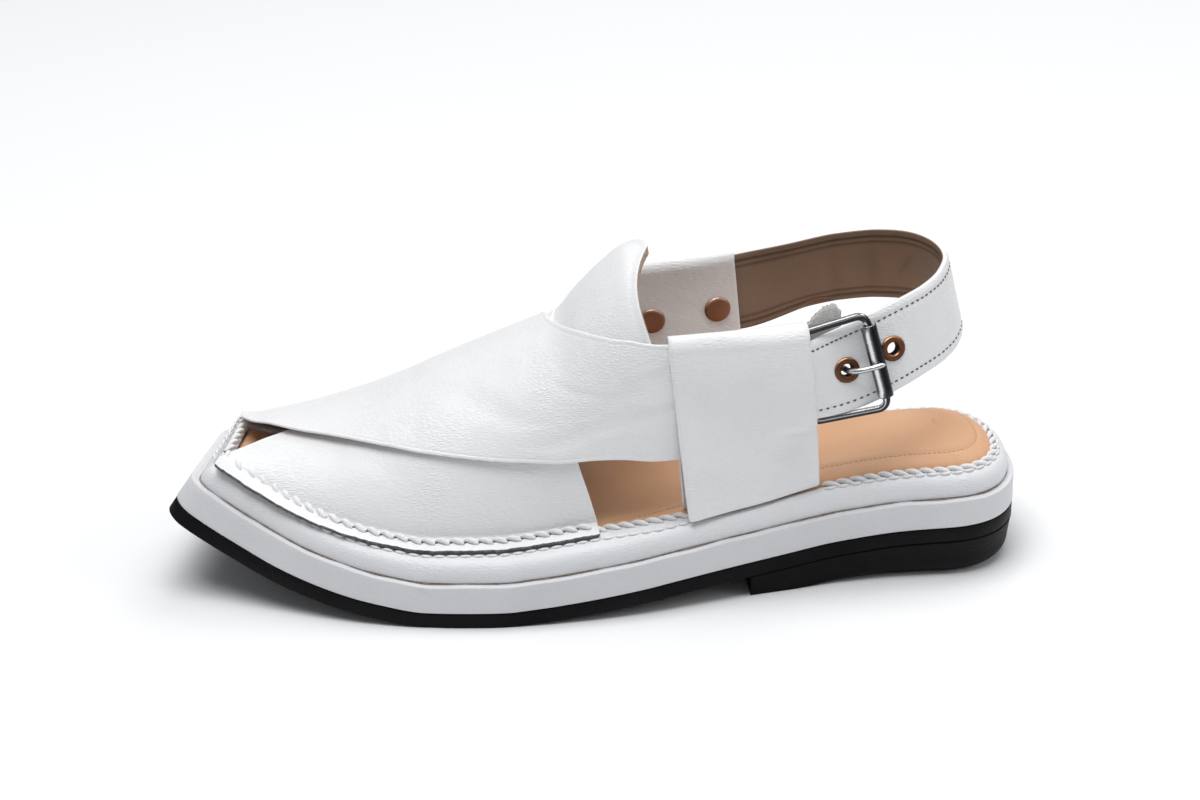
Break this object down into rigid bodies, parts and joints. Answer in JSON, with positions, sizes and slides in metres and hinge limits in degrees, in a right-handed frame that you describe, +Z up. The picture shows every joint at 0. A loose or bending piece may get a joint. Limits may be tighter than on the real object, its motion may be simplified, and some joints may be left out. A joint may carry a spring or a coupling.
{
  "type": "peshawari chappal",
  "caption": "White leather sandal with crossed toe straps, pointed tongue, side bands and a buckled heel strap, on a layered sole with a lifted square toe.",
  "frame": {"origin": "on the floor, under the middle of the sandal's box", "axes": "+X to the toe, +Y to the outside of the foot, +Z up"},
  "size_m": [0.2906, 0.1078, 0.1139],
  "materials": {
    "white_leather": "fine grain, slight gloss",
    "white_foam": "matte foam",
    "black_rubber": "matte",
    "tan_leather": "smooth, worn in",
    "dark_chrome": "polished",
    "copper": "dull"
  },
  "bodies": {
    "root": {"outsole": "black_rubber", "heel": "black_rubber", "midsole": "white_foam", "welt": "white_leather", "insole": "tan_leather", "upper": "white_leather", "lateral_band": "white_leather", "medial_band": "white_leather", "heel_strap": "white_leather", "buckle_frame": "dark_chrome", "buckle_roller": "dark_chrome", "buckle_prong": "dark_chrome", "strap_tab": "white_leather", "eyelet_1": "copper", "eyelet_2": "copper", "medial_rivet_1": "copper", "medial_rivet_2": "copper"}
  },
  "joints": []
}
